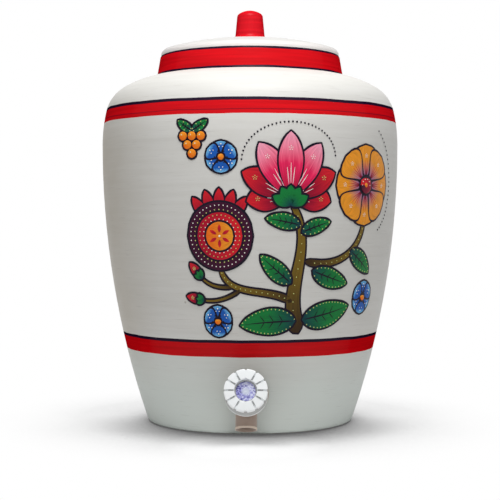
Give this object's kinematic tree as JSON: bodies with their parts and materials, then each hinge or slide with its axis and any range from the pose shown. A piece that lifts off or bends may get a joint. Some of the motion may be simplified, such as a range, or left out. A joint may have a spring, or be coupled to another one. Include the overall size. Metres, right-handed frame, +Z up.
{
  "type": "clay water pot with tap",
  "caption": "Tall round clay water pot with a loose lid and a screw-down tap low on its wall, for keeping and drawing drinking water.",
  "frame": {"origin": "centre of the pot's flat base, where it stands", "axes": "+Z up along the pot's axis; the tap points towards -Y; +X to the right when facing the tap"},
  "size_m": [0.2699, 0.2973, 0.3754],
  "materials": {
    "painted_clay": "matte",
    "taupe_plastic": "satin",
    "black_rubber": "matte",
    "white_plastic": "satin",
    "knob_white": "gloss",
    "screw_steel": "satin",
    "violet_disc": "gloss"
  },
  "bodies": {
    "pot": {"pot_body": "painted_clay", "tap_body": "taupe_plastic", "outer_washer": "black_rubber", "inner_washer": "black_rubber", "slip_washer": "white_plastic", "back_nut": "white_plastic", "bonnet_gasket": "black_rubber", "tap_bonnet": "white_plastic", "spindle_o_ring": "black_rubber"},
    "lid": {"lid": "painted_clay"},
    "valve": {"valve_jumper": "white_plastic", "seat_washer": "black_rubber"},
    "knob": {"tap_spindle": "white_plastic", "tap_knob": "knob_white", "knob_screw": "screw_steel", "knob_disc": "violet_disc"}
  },
  "joints": [
    {"name": "lid_lift", "type": "slide", "parent": "pot", "child": "lid", "axis": [0, 0, 1], "range_m": [0, 0.12]},
    {"name": "valve_lift", "type": "slide", "parent": "pot", "child": "valve", "axis": [0, -0.9336, 0.3584], "range_m": [0, 0.003]},
    {"name": "knob_turn", "type": "hinge", "parent": "valve", "child": "knob", "pos_m": [0, -0.121, 0.03227], "axis": [0, -0.9336, 0.3584], "range_deg": [0, 180]}
  ],
  "couplings": [
    {"joint": "valve_lift", "follows": "knob_turn", "m_per_rad": 0.00095492}
  ]
}
